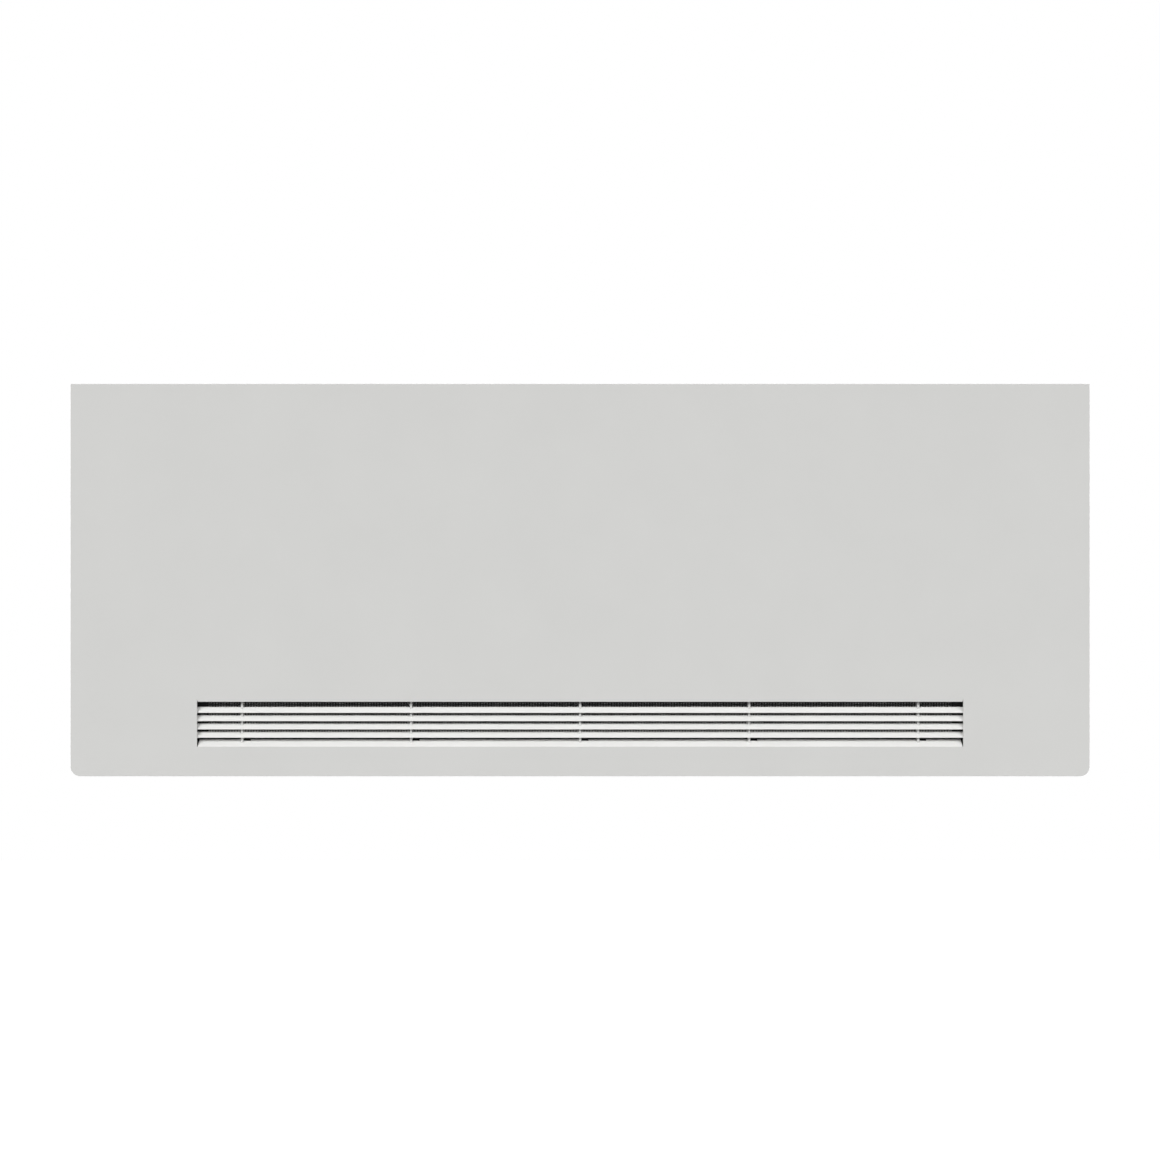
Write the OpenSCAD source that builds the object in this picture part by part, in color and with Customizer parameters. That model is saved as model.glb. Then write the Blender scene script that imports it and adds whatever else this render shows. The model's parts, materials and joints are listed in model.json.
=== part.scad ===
// Panel radiator with a low surface temperature casing. Two fluted steel water panels hang on wall
// brackets inside a painted sheet casing, and the casing's front panel drops down on two hinges.
// Room air enters through the louvre low in the front and leaves through the louvre in the top.
// X runs along the wall, the wall is the plane y = 0, the front faces -Y and +Z is up.
// The origin is the middle of the four wall holes that carry the radiator brackets.

/* [Casing] */
// Width of the casing along the wall
case_w = 1000; // [980:10:1400]
// Height of the casing
case_h = 385; // [375:5:600]
// Depth of the casing from the wall to the front face
case_d = 145; // [140:5:200]
// Thickness of the casing sheet
sheet = 1.5; // [1.2:0.1:2]
// Outside radius of the two bottom corners
corner_r = 9.3; // [6:0.1:12]
// Depth of the folded edge round the front panel
edge_d = 12; // [10:0.5:16]
// Clearance that the folded edge keeps from the fixed casing as the front panel swings
swing_gap = 0.5; // [0.3:0.1:2]
// Width of the flanges folded inwards on the side panels
flange_w = 24; // [22:1:28]
// Height of the top cover's wall flange
wall_lip_h = 20; // [12:1:30]
// Height of the bottom plate's wall flange, which closes the space under the water panels
bottom_lip_h = 50; // [30:1:54]
// Height of the flange that carries the catches under the top cover's front edge
catch_lip_h = 32; // [28:1:40]

/* [Louvres] */
// Distance of the two louvre windows from the casing's sides
win_side = 124; // [110:1:200]
// Height of the inlet window's lower edge above the casing's bottom
win_up = 28.9; // [28:0.1:60]
// Number of blades in the inlet
blades_in = 4; // [3:1:8]
// Number of blades in the outlet
blades_out = 9; // [5:1:9]
// Distance from one blade to the next
blade_pitch = 8.14; // [7.8:0.01:9]
// Depth of a blade from front to rear
blade_d = 6; // [5:0.5:8]
// Rise of a blade from its front edge to its rear edge
blade_rise = 4.4; // [3:0.1:5]
// Thickness of a blade
blade_t = 1.2; // [0.8:0.1:1.6]
// Distance of the blades' front edges behind the front face
blade_in = 2.2; // [2.1:0.1:3]
// Height of the first blade's lower edge above the window's lower edge
first_up = 8.6; // [8.5:0.1:14]
// Height of the window above the last blade's lower edge
head_room = 11.1; // [8:0.1:16]
// Length of a blade hidden behind the skin at each end
blade_over = 12; // [6:1:20]
// Number of ribs that carry the blades
ribs = 5; // [3:2:9]
// Depth of a rib's slots, in which the blades' rear edges sit
blade_seat = 2.9; // [0.5:0.1:3.5]
// Distance of the outer ribs from the window's ends
rib_end = 43.4; // [20:0.1:80]
// Thickness of a rib
rib_t = 2.3; // [1.5:0.1:4]
// Depth of a rib from front to rear
rib_d = 11; // [10:0.5:13]
// Clearance round a blade in its slot
slot_gap = 0.1; // [0.05:0.01:0.2]
// Depth of the sloping sill at the window's lower edge
sill_d = 10; // [9.5:0.5:13]
// Rise of the sill
sill_rise = 6.9; // [4:0.1:7]
// Distance of the sill's front corners from the window's ends
sill_end = 0.5; // [0.4:0.1:2]
// Amount by which each end of the sill draws in towards the rear
sill_taper = 0.5; // [0:0.1:4]
// Width of the notch in the sill's rear edge beside each rib
sill_notch_w = 7; // [4:0.5:10]
// Depth of that notch
sill_notch_d = 1.9; // [1:0.1:3]
// Depth of the flange folded inwards at the window's upper edge
head_d = 8; // [4:0.5:12]
// Width of the slit at each end of that flange
slit_w = 0.8; // [0.5:0.1:2]
// Height to which those slits run out above the window
slit_h = 2.4; // [1.6:0.1:4]
// Sheet thickness of the frame behind each window
frame_t = 1.2; // [0.8:0.1:1.5]
// Width of the frame's flange on the skin
frame_flange = 7; // [5:0.5:7.5]
// Height of the frame's lower lip above the window's lower edge
frame_lip = 10.9; // [8:0.1:12]
// Width of the frame's lip at each end of the window
frame_end = 9; // [4:0.5:20]
// Thickness of the guard mesh
mesh_t = 0.8; // [0.5:0.1:1.5]
// Number of openings along each mesh
mesh_cols = 50; // [20:1:60]
// Number of rows of openings in each mesh
mesh_rows = 3; // [2:1:4]
// Width of a mesh bar
mesh_bar = 1; // [0.6:0.1:1.6]

/* [Front panel hinges and catches] */
// Distance of the hinges from the casing's sides
hinge_side = 150; // [110:10:300]
// Length of a hinge
hinge_l = 60; // [50:2:80]
// Outside radius of a hinge knuckle
knuckle_r = 3; // [2.5:0.1:3.5]
// Radius of the hinge pin
pin_r = 1.5; // [1:0.1:1.7]
// Length of the fixed middle knuckle
knuckle_l = 20; // [16:1:26]
// Thickness of the moving leaf
leaf_t = 1.5; // [1.2:0.1:2]
// Height of the moving leaf above the hinge axis
leaf_up = 12.5; // [10:0.5:13]
// Thickness of the fixed leaf
fixed_leaf_t = 2; // [1.6:0.1:2.4]
// Depth of the fixed leaf on the bottom plate
fixed_leaf_d = 18; // [14:1:30]
// Distance of the catches from the casing's sides
catch_side = 200; // [130:10:350]
// Width of a catch
catch_w = 40; // [30:1:60]
// Height of a catch
catch_h = 14; // [12:1:18]
// Thickness of the strike plates on the front panel
strike_t = 2; // [1:0.1:3]
// Clearance of catches and buffers from what they stop
stop_gap = 0.3; // [0.2:0.05:0.6]
// Radius of the rubber buffers
buffer_r = 5; // [3:0.5:6]

/* [Radiator] */
// Room for the valves at each end of the water panels
end_room = 100; // [98:1:180]
// Height of the water panels above the casing's bottom
rad_up = 45; // [42:1:55]
// Room between the water panels and the casing's top
rad_top = 40; // [39:1:60]
// Depth over both water panels
rad_depth = 66; // [60:1:70]
// Distance from the wall to the rear water panel
rad_gap = 32; // [30:1:36]
// Sheet thickness of the water panels
water_t = 1.25; // [1:0.05:1.5]
// Number of flutes along a water panel
flutes = 24; // [20:2:26]
// Depth of a flute on each side
flute_d = 4.5; // [3:0.5:5]
// Width of a flute at its crest
flute_crest = 16; // [12:0.5:16]
// Width of a flute at its base
flute_base = 25; // [18:0.5:26]
// Distance of the headers and tappings from the panel's upper and lower edge
tap_in = 27; // [26:0.5:30]
// Depth of the convector fins
fin_d = 36; // [20:1:38]
// Thickness of the convector sheet
fin_t = 0.5; // [0.4:0.1:0.8]
// Distance of the fins from the panel's upper and lower edge
fin_in = 45; // [42:1:60]

/* [Wall fixing] */
// Distance of a bracket's wall holes from its ends
hole_end = 40; // [20:1:60]
// Radius of the wall holes of the brackets
bolt_r = 4; // [3:0.1:4.5]
// Radius of the wall holes of the casing
case_hole_r = 2.75; // [2:0.05:4]
// Thickness of the two wall rails
rail_t = 2; // [1.5:0.1:3]
// Height of the two wall rails
rail_h = 30; // [24:1:40]
// Thickness of the wall brackets
bracket_t = 2.5; // [2:0.1:3]
// Length of the wall brackets below the lower lugs
bracket_below = 31; // [28:1:36]
// Length of the wall brackets above the lower edges of the upper lugs
bracket_above = 45; // [30:1:50]
// Width of a bracket's wall flange
bracket_w = 34; // [30:1:50]
// Distance from a bracket's web to its holes
hole_out = 18; // [14:1:20]
// Flute at which the brackets sit, counted from the middle
lug_flute = 7; // [4:1:8]
// Width of a hanging lug
lug_w = 30; // [28:0.5:31]
// Height of a hanging lug
lug_h = 24; // [20:1:26]
// Thickness of a hanging lug
lug_t = 2; // [1.5:0.1:3]
// Distance of a lug's strap from the water panel's crest
lug_out = 14; // [13:0.5:15]
// Height of the lower lugs above the water panel's lower edge
lug_low = 46; // [45:1:60]
// Distance of the upper lugs' lower edges below the water panel's upper edge
lug_down = 70; // [69:1:90]
// Thickness of a plastic saddle under and beside a lug
saddle_t = 1.5; // [1:0.1:2]

/* [Valves and plugs] */
// Radius of the tapping bore in a tee
tap_r = 9.3; // [8.5:0.1:9.6]
// Outside radius of a tee
tee_r = 13; // [12:0.1:13.5]
// Length of a tee
tee_l = 28; // [26:1:34]
// Distance from the radiator's end to a valve's axis
valve_out = 48; // [46:0.5:50]
// Radius of a valve body
valve_r = 11.5; // [11:0.1:12]
// Radius of the pipe sockets, for 15 mm pipe
socket_r = 7.6; // [7:0.05:8]
// Depth of the pipe sockets
socket_l = 16; // [12:0.5:18]
// Radius of the thermostatic head
head_r = 24; // [20:0.5:24]
// Height of the thermostatic head
head_h = 60; // [55:1:70]
// Travel of the valve pin
pin_travel = 2.5; // [1:0.1:3]
// Radius of the valve pin
valve_pin_r = 1.5; // [1:0.1:2]
// Radius of the lockshield spindle
spindle_r = 3; // [2.5:0.1:4]
// Radius of the vent screw
vent_r = 2.4; // [1.5:0.1:3]
// Radial running clearance of pins, spindles and the head
run_gap = 0.05; // [0.03:0.01:0.08]
// Width of the pipe slots in the bottom plate
pipe_slot_w = 44; // [38:1:48]

/* [Hidden] */
$fn = 48;
// How far cuts reach past what they cut
eps = 1;
cut_l = 20;

// Sizes that follow the casing
win_w = case_w - 2 * win_side;
hinge_x = case_w / 2 - hinge_side;
catch_x = case_w / 2 - catch_side;
rad_len = case_w - 2 * end_room;
rad_h = case_h - rad_up - rad_top;
lug_high = rad_h - lug_down;

// Ends of the wall brackets, and the origin, which is their middle, above the casing's bottom
bracket_low = rad_up + lug_low - bracket_below;
bracket_top = rad_up + lug_high + bracket_above;
bracket_h = bracket_top - bracket_low;
bolt_up = (bracket_low + bracket_top) / 2;
bolt_v = bracket_h - 2 * hole_end;

lid_z = case_h - sheet;
flange_x = case_w / 2 - flange_w;
screw_x = case_w / 2 - flange_w / 2;
bottom_screw_in = 7;
bottom_screw_x = case_w / 2 - corner_r - bottom_screw_in;
// Clearance between fixed sheets, and the wall flanges' distance from the side panels' flanges
sheet_gap = 0.2;
lip_x = flange_x - 1;
// Screws, and their distance from the wall and from the casing's front edge
screw_in = 20;
screw_r = 2;
screw_gap = 0.1;
screw_head_r = 4;
screw_head_h = 1.8;
socket_hex_r = 1.6;
socket_hex_l = 1;

// Hinge axis, measured back from the front face and up from the casing's bottom
knuckle_in = 0.7;
knuckle_up = 0.2;
axis_in = sheet + knuckle_in + knuckle_r;
axis_up = sheet + knuckle_up + knuckle_r;
knuckle_gap = 0.4;
leaf_foot = 2;
leaf_relief = 0.9;
notch_gap = 2;
// The folded edge's rear corner swings on this radius, and the fixed casing starts clear of it
swing_r = norm([edge_d - axis_in, axis_up]);
body_d = case_d - axis_in - swing_r - swing_gap;
// Room between the fixed casing and the inside of the front panel
front_room = case_d - sheet - body_d;
catch_l = front_room - strike_t - stop_gap;
catch_up = lid_z - catch_lip_h / 2;
catch_end = 6;
catch_edge = 2.5;
catch_back = 2;
magnet_w = catch_w - 2 * catch_end;
magnet_h = catch_h - 2 * catch_edge;
buffer_in = 40;

// Louvre heights and the slopes of blades and sill
function window_h(n) = first_up + (n - 1) * blade_pitch + head_room;
blade_v = blade_t * norm([blade_d, blade_rise]) / blade_d;
sill_v = sheet * norm([sill_d, sill_rise]) / sill_d;
rib_pitch = (win_w - 2 * rib_end) / (ribs - 1);
rib_in = blade_in + blade_d - blade_seat;
frame_in = rib_in + rib_d;
frame_below = 2;
frame_above = 4;
frame_head = 1;
mesh_edge = 3;
// Clearance at each end of a blade, inside the frame
end_gap = 0.2;
// The outlet's front edge, measured from the wall, a little forward of the top cover's middle
outlet_fore = 2;
out_front = (body_d + window_h(blades_out)) / 2 + outlet_fore;

// Water panel sections
panel_th = 2 * (water_t + flute_d);
flute_pitch = rad_len / flutes;
header_base = 30;
header_crest = 21;
stub_r = 9.5;
stub_bore_r = 7;
stub_in = 16;
// Distance of the headers' ends from the panel's ends, and the edge left inside a flute's base
header_in = 5;
flute_edge = 0.5;
rad_mid = rad_gap + rad_depth / 2;
crest_gap = rad_depth - 2 * panel_th;
lug_x = (lug_flute + 0.5) * flute_pitch;

// Saddle, notch and hook of the wall brackets, measured out from the wall
strap_out = rad_gap - lug_out;
notch_in = strap_out - saddle_t - slot_gap;
notch_out = strap_out + lug_t + saddle_t + slot_gap;
hook_back = 3;
hook_out = rad_gap - hook_back;
hook_h = 16;
hook_tip = 4;
hook_bevel = 3;
hook_root = 20;
hook_knee = 8;
saddle_h = 10;
saddle_w = 10;
saddle_skirt = 4;
saddle_grip = 3;
hook_low = rad_up + lug_low - saddle_t;
hook_high = rad_up + lug_high - saddle_t;

// Valve levels above the tapping axis and lengths out from the radiator's end
body_low = 30;
thread_low = 18;
body_high = 20;
seat_up = -7;
seat_r = 5;
chamber_r = 8;
disc_r = 7;
disc_h = 3;
bonnet_low = 10;
collar_h = 3;
collar_r = 11;
stem_r = 10;
stem_top = 32;
pin_top = 36;
union_in = 23;
union_r = 12.2;
union_nut_in = 15;
union_nut_l = 19;
union_nut_r = 17.3;
tail_r = 7.6;
tail_collar_r = 9.8;
tail_collar_l = 3;
tail_flange_r = 12.5;
tail_flange_l = 3;
thread_gap = 0.1;
slip_gap = 0.2;
spigot_r = tap_r - thread_gap;
spigot_l = 12;
seal_t = 1.5;
pipe_nut_r = 15.6;
pipe_nut_l = 16;
pipe_nut_floor = 3;
thread_r = 10.5;
olive_l = 3;
head_foot = body_high + collar_h + stop_gap;
sensor_r = 12;
sensor_l = 30;
waterway_r = 6;
plug_head_r = 15;
plug_head_l = 6;
plug_out = seal_t + plug_head_l;
valve_x = rad_len / 2 + valve_out;

// Shape helpers

// Lifts what is drawn up from the casing's bottom into the frame
module in_casing() {
  translate([0, 0, -bolt_up])
    children();
}

// Extrudes an outline of (y, z) points along X
module along_x(length) {
  rotate([90, 0, 90])
    linear_extrude(height = length, center = true)
      children();
}

// Extrudes an outline of (x, z) points from y0 to y1
module across(y0, y1) {
  translate([0, y1, 0])
    rotate([90, 0, 0])
      linear_extrude(height = y1 - y0)
        children();
}

// A round bar along X
module bar_x(r, length) {
  rotate([0, 90, 0])
    cylinder(r = r, h = length, center = true);
}

// Places what is drawn with x = 0 at its middle on both sides, mirrored
module both_sides() {
  children();
  mirror([1, 0, 0])
    children();
}

// The casing's outline from the front, with the rounded bottom corners
module casing_outline(inset, top) {
  half = case_w / 2 - inset;
  r = corner_r - inset;
  translate([-half, inset + r])
    square([2 * half, top - 2 * inset - r]);
  translate([r - half, inset])
    square([2 * (half - r), r + eps]);
  for (side = [-1, 1])
    translate([side * (half - r), inset + r])
      circle(r);
}

// The folded ring of sheet along that outline
module casing_ring(top) {
  difference() {
    casing_outline(0, top);
    casing_outline(sheet, top);
  }
}

// The strip of the outline that belongs to the right-hand side panel's flanges
module flange_strip() {
  translate([flange_x, -eps])
    square([flange_w + eps, case_h + 2 * eps]);
}

// A button head screw that points down, its head resting on z = 0
module screw(length) {
  difference() {
    union() {
      cylinder(r = screw_head_r, h = screw_head_h);
      translate([0, 0, -length])
        cylinder(r = screw_r, h = length + eps / 2);
    }
    translate([0, 0, screw_head_h - socket_hex_l])
      cylinder(r = socket_hex_r, h = 2 * socket_hex_l, $fn = 6);
  }
}

// Louvre parts, drawn with y as the depth behind a skin and z as the height in its window

module at_inlet() {
  in_casing()
    translate([0, -case_d, win_up])
      children();
}

module at_outlet() {
  in_casing()
    translate([0, -out_front, case_h])
      rotate([-90, 0, 0])
        children();
}

module window_cut(h) {
  translate([-win_w / 2, -eps, 0])
    cube([win_w, sheet + 2 * eps, h]);
  both_sides()
    across(-eps, sheet + eps)
      polygon([
        [win_w / 2 - slit_w, h - eps],
        [win_w / 2, h - eps],
        [win_w / 2, h + slit_h],
        [win_w / 2 - slit_w, h]
      ]);
}

// A sloping sill, drawn along X from its section, with tapered ends and a notch beside each rib
module sill(foot) {
  end_front = win_w / 2 - sill_end;
  end_rear = end_front - sill_taper;
  intersection() {
    along_x(win_w)
      polygon([[0, 0], [sill_d, sill_rise], [sill_d, sill_rise - sill_v], foot]);
    translate([0, 0, -2 * sill_v])
      linear_extrude(height = sill_rise + 3 * sill_v)
        difference() {
          polygon([
            [-end_front, 0],
            [end_front, 0],
            [end_rear, sill_d],
            [-end_rear, sill_d]
          ]);
          for (k = [0 : ribs - 1])
            translate([rib_at(k) + rib_t / 2, sill_d - sill_notch_d])
              square([sill_notch_w, sill_notch_d + eps]);
        }
  }
}

// The flange folded square along a window's upper edge
module head_flange(h) {
  translate([slit_w - win_w / 2, 0, h])
    cube([win_w - 2 * slit_w, head_d, sheet]);
}

// Section of blade i, with gap added all round
function blade_outline(i, gap) =
  let (
    low = first_up + i * blade_pitch,
    rise = blade_rise * (1 + gap / blade_d)
  )
  [
    [blade_in, low - gap],
    [blade_in, low + blade_v + gap],
    [blade_in + blade_d + gap, low + blade_v + gap + rise],
    [blade_in + blade_d + gap, low - gap + rise]
  ];

module blade(i) {
  along_x(win_w + 2 * (blade_over - end_gap))
    polygon(blade_outline(i, 0));
}

function rib_at(k) = (k - (ribs - 1) / 2) * rib_pitch;

// A rib stands on the sill, reaches the head flange, and is slotted from the front for the blades
module rib_set(n) {
  slope = sill_rise / sill_d;
  top = window_h(n);
  for (k = [0 : ribs - 1])
    translate([rib_at(k), 0, 0])
      along_x(rib_t)
        difference() {
          polygon([
            [rib_in, rib_in * slope],
            [sill_d, sill_rise],
            [frame_in, sill_rise],
            [frame_in, top],
            [rib_in, top]
          ]);
          for (i = [0 : n - 1])
            polygon(blade_outline(i, slot_gap));
        }
}

// A box frame that closes the sides of the louvre and holds the mesh behind it
module louvre_frame(n) {
  top = window_h(n);
  in_x = win_w / 2 + blade_over;
  out_x = in_x + frame_t;
  low = -frame_below - frame_t;
  high = top + frame_above + frame_t;
  difference() {
    union() {
      translate([-out_x, sheet, low])
        cube([2 * out_x, frame_in + frame_t - sheet, high - low]);
      translate([-out_x - frame_flange, sheet, low - frame_flange])
        cube([2 * (out_x + frame_flange), frame_t, high - low + 2 * frame_flange]);
    }
    translate([-in_x, sheet - eps, -frame_below])
      cube([2 * in_x, frame_in - sheet + eps, top + frame_below + frame_above]);
    translate([frame_end - win_w / 2, frame_in - eps, frame_lip])
      cube([win_w - 2 * frame_end, frame_t + 2 * eps, top + frame_head - frame_lip]);
  }
}

// The guard mesh lies against the rear of the frame's lips
module louvre_mesh(n) {
  open_w = win_w - 2 * frame_end;
  open_h = window_h(n) + frame_head - frame_lip;
  step_x = (open_w + mesh_bar) / mesh_cols;
  step_z = (open_h + mesh_bar) / mesh_rows;
  across(frame_in + frame_t, frame_in + frame_t + mesh_t)
    difference() {
      translate([-open_w / 2 - mesh_edge, frame_lip - mesh_edge])
        square([open_w + 2 * mesh_edge, open_h + 2 * mesh_edge]);
      for (col = [0 : mesh_cols - 1], row = [0 : mesh_rows - 1])
        translate([col * step_x - open_w / 2, frame_lip + row * step_z])
          square([step_x - mesh_bar, step_z - mesh_bar]);
    }
}

// Casing

module front_panel() {
  notch = knuckle_l + 2 * notch_gap;
  color("gainsboro") {
    in_casing()
      difference() {
        union() {
          across(-case_d, -case_d + sheet)
            casing_outline(0, case_h);
          across(-case_d, -case_d + edge_d)
            casing_ring(case_h);
        }
        translate([0, -case_d, win_up])
          window_cut(window_h(blades_in));
        for (side = [-1, 1])
          translate([side * hinge_x - notch / 2, sheet - case_d, -eps])
            cube([notch, edge_d, sheet + 2 * eps]);
      }
    at_inlet()
      head_flange(window_h(blades_in));
  }
}

// The inlet's sill is a strip of its own, whose flat foot stands on the window's lower edge
module inlet_sill() {
  color("white")
    at_inlet()
      sill([sill_v * sill_d / sill_rise, 0]);
}

// Drawn for the right-hand side; the left one is its mirror image
module side_panel() {
  in_casing()
    difference() {
      union() {
        across(-body_d, 0)
          intersection() {
            casing_ring(lid_z);
            flange_strip();
          }
        for (y = [-body_d, -sheet])
          across(y, y + sheet)
            intersection() {
              casing_outline(0, lid_z);
              flange_strip();
            }
      }
      for (z = [bolt_up - bolt_v / 2, bolt_up + bolt_v / 2])
        translate([screw_x, 0, z])
          rotate([90, 0, 0])
            cylinder(r = case_hole_r, h = 4 * sheet, center = true);
      for (y = [-screw_in, screw_in - body_d], z = [0, lid_z])
        translate([z > 0 ? screw_x : bottom_screw_x, y, z])
          cylinder(r = screw_r + screw_gap, h = 4 * sheet, center = true);
    }
}

module top_cover() {
  color("gainsboro") {
    in_casing()
      difference() {
        union() {
          translate([-case_w / 2, -body_d, lid_z])
            cube([case_w, body_d, sheet]);
          translate([-lip_x, -body_d, lid_z - catch_lip_h])
            cube([2 * lip_x, sheet, catch_lip_h + sheet / 2]);
          translate([-lip_x, -sheet, lid_z - wall_lip_h])
            cube([2 * lip_x, sheet, wall_lip_h + sheet / 2]);
        }
        translate([0, -out_front, case_h])
          rotate([-90, 0, 0])
            window_cut(window_h(blades_out));
        for (side = [-1, 1], y = [-screw_in, screw_in - body_d])
          translate([side * screw_x, y, lid_z])
            cylinder(r = screw_r + screw_gap, h = 4 * sheet, center = true);
      }
    at_outlet() {
      sill([0, -sill_v]);
      head_flange(window_h(blades_out));
    }
  }
}

module bottom_plate() {
  half = case_w / 2 - corner_r - sheet_gap;
  color("gainsboro")
    in_casing()
      difference() {
        union() {
          translate([-lip_x, -body_d, sheet])
            cube([2 * lip_x, body_d, sheet]);
          translate([-half, sheet + sheet_gap - body_d, sheet])
            cube([2 * half, body_d - 2 * (sheet + sheet_gap), sheet]);
          translate([-lip_x, -sheet, sheet])
            cube([2 * lip_x, sheet, bottom_lip_h]);
        }
        for (side = [-1, 1])
          translate([side * valve_x, -rad_mid, 0]) {
            cylinder(d = pipe_slot_w, h = 3 * sheet);
            translate([-pipe_slot_w / 2, 0, 0])
              cube([pipe_slot_w, rad_mid + eps, bottom_lip_h + 2 * sheet]);
          }
        for (side = [-1, 1], y = [-screw_in, screw_in - body_d])
          translate([side * bottom_screw_x, y, 2 * sheet])
            cylinder(r = screw_r + screw_gap, h = 4 * sheet, center = true);
        for (side = [-1, 1], dx = [-hinge_l / 3, hinge_l / 3])
          translate([side * hinge_x + dx, fixed_leaf_d / 2 - body_d, 2 * sheet])
            cylinder(r = screw_r + screw_gap, h = 4 * sheet, center = true);
      }
}

module casing_screws() {
  color("silver")
    in_casing()
      both_sides()
        for (y = [-screw_in, screw_in - body_d]) {
          translate([screw_x, y, case_h])
            screw(2 * sheet);
          translate([bottom_screw_x, y, 2 * sheet])
            screw(2 * sheet);
        }
}

// Hinges, drawn round the hinge axis

module at_hinge(side) {
  in_casing()
    translate([side * hinge_x, axis_in - case_d, axis_up])
      children();
}

module hinge_moving_leaf(side) {
  half = knuckle_l / 2 + knuckle_gap;
  color("silver")
    at_hinge(side)
      difference() {
        union() {
          translate([-hinge_l / 2, sheet - axis_in, -leaf_foot])
            cube([hinge_l, leaf_t, leaf_up + leaf_foot]);
          bar_x(knuckle_r, hinge_l);
        }
        bar_x(pin_r + run_gap, hinge_l + 2 * eps);
        translate([-half, -axis_in, -axis_up])
          cube([2 * half, 2 * axis_in, axis_up + knuckle_r + leaf_relief]);
      }
}

module hinge_fixed_leaf(side) {
  reach = case_d - axis_in - body_d;
  neck_in = 1;
  color("silver")
    at_hinge(side)
      difference() {
        union() {
          bar_x(knuckle_r, knuckle_l);
          translate([neck_in - knuckle_l / 2, 0, 2 * sheet - axis_up])
            cube([knuckle_l - 2 * neck_in, reach + eps, fixed_leaf_t]);
          translate([-hinge_l / 2, reach, 2 * sheet - axis_up])
            cube([hinge_l, fixed_leaf_d, fixed_leaf_t]);
        }
        bar_x(pin_r, knuckle_l + 2 * eps);
        for (dx = [-hinge_l / 3, hinge_l / 3])
          translate([dx, reach + fixed_leaf_d / 2, 0])
            cylinder(r = screw_r + screw_gap, h = cut_l, center = true);
      }
}

module hinge_pin(side) {
  color("gray")
    at_hinge(side)
      bar_x(pin_r, hinge_l + 1);
}

module hinge_screws() {
  color("silver")
    in_casing()
      for (side = [-1, 1], dx = [-hinge_l / 3, hinge_l / 3])
        translate([side * hinge_x + dx, fixed_leaf_d / 2 - body_d, 2 * sheet + fixed_leaf_t])
          screw(sheet + fixed_leaf_t);
}

// Catches

module catch_holder(side) {
  color("dimgray")
    in_casing()
      translate([side * catch_x, -body_d, catch_up])
        difference() {
          translate([-catch_w / 2, -catch_l, -catch_h / 2])
            cube([catch_w, catch_l, catch_h]);
          translate([-magnet_w / 2, -catch_l - eps, -magnet_h / 2])
            cube([magnet_w, catch_l + eps - catch_back, magnet_h]);
        }
}

module catch_magnets() {
  color("dimgray")
    in_casing()
      for (side = [-1, 1])
        translate([side * catch_x, -body_d, catch_up])
          translate([slot_gap - magnet_w / 2, -catch_l, slot_gap - magnet_h / 2])
            cube([magnet_w - 2 * slot_gap, catch_l - catch_back, magnet_h - 2 * slot_gap]);
}

module strike_plates() {
  color("silver")
    in_casing()
      for (side = [-1, 1])
        translate([side * catch_x - catch_w / 2, sheet - case_d, catch_up - catch_h / 2])
          cube([catch_w, strike_t, catch_h]);
}

module panel_buffers() {
  color("black")
    in_casing()
      both_sides()
        for (z = [buffer_in, lid_z - buffer_in])
          translate([screw_x, -body_d, z])
            rotate([90, 0, 0])
              cylinder(r = buffer_r, h = front_room - stop_gap);
}

// Wall rails and brackets

// The ends of a rail step over the side panels' wall flanges and share their wall holes
module wall_rail(z) {
  end_in = 3;
  joggle = 4;
  end_x = case_w / 2 - end_in;
  step_x = flange_x - slot_gap;
  color("lightgray")
    in_casing()
      difference() {
        union() {
          translate([-step_x, -rail_t, z - rail_h / 2])
            cube([2 * step_x, rail_t, rail_h]);
          both_sides() {
            translate([step_x - joggle, -rail_t - sheet, z - rail_h / 2])
              cube([joggle, rail_t + sheet, rail_h]);
            translate([step_x - joggle, -rail_t - sheet, z - rail_h / 2])
              cube([end_x - step_x + joggle, rail_t, rail_h]);
          }
        }
        for (side = [-1, 1]) {
          translate([side * screw_x, 0, z])
            rotate([90, 0, 0])
              cylinder(r = case_hole_r, h = cut_l, center = true);
          translate([side * (lug_x + hole_out), 0, z])
            rotate([90, 0, 0])
              cylinder(r = bolt_r, h = cut_l, center = true);
        }
      }
}

function hook_points(z) = [
  [-notch_in, z - hook_root],
  [-hook_out, z - hook_knee],
  [-hook_out, z + hook_h - hook_tip],
  [-hook_out + hook_bevel, z + hook_h],
  [-notch_out, z + hook_h],
  [-notch_out, z],
  [-notch_in, z]
];

module bracket_web(thickness) {
  translate([lug_x, 0, 0])
    along_x(thickness)
      polygon(concat(
        [[-rail_t, bracket_low], [-notch_in, bracket_low]],
        hook_points(hook_low),
        hook_points(hook_high),
        [[-notch_in, bracket_top], [-rail_t, bracket_top]]
      ));
}

module wall_bracket() {
  difference() {
    union() {
      bracket_web(bracket_t);
      translate([lug_x - bracket_t / 2, -rail_t - bracket_t, bracket_low])
        cube([bracket_w, bracket_t, bracket_h]);
    }
    for (z = [bolt_up - bolt_v / 2, bolt_up + bolt_v / 2])
      translate([lug_x + hole_out, 0, z])
        rotate([90, 0, 0])
          cylinder(r = bolt_r, h = cut_l, center = true);
  }
}

module bracket_saddles() {
  groove = lug_t + 2 * slot_gap;
  color("white")
    in_casing()
      both_sides()
        for (z = [hook_low, hook_high])
          difference() {
            translate([lug_x - saddle_w / 2, -notch_out - saddle_grip, z - saddle_skirt])
              cube([saddle_w, notch_out - notch_in + 2 * saddle_grip, saddle_h + saddle_skirt]);
            bracket_web(bracket_t + 2 * slot_gap);
            translate([lug_x - saddle_w, slot_gap - strap_out - groove, z + saddle_t])
              cube([2 * saddle_w, groove, saddle_h]);
          }
}

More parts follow.
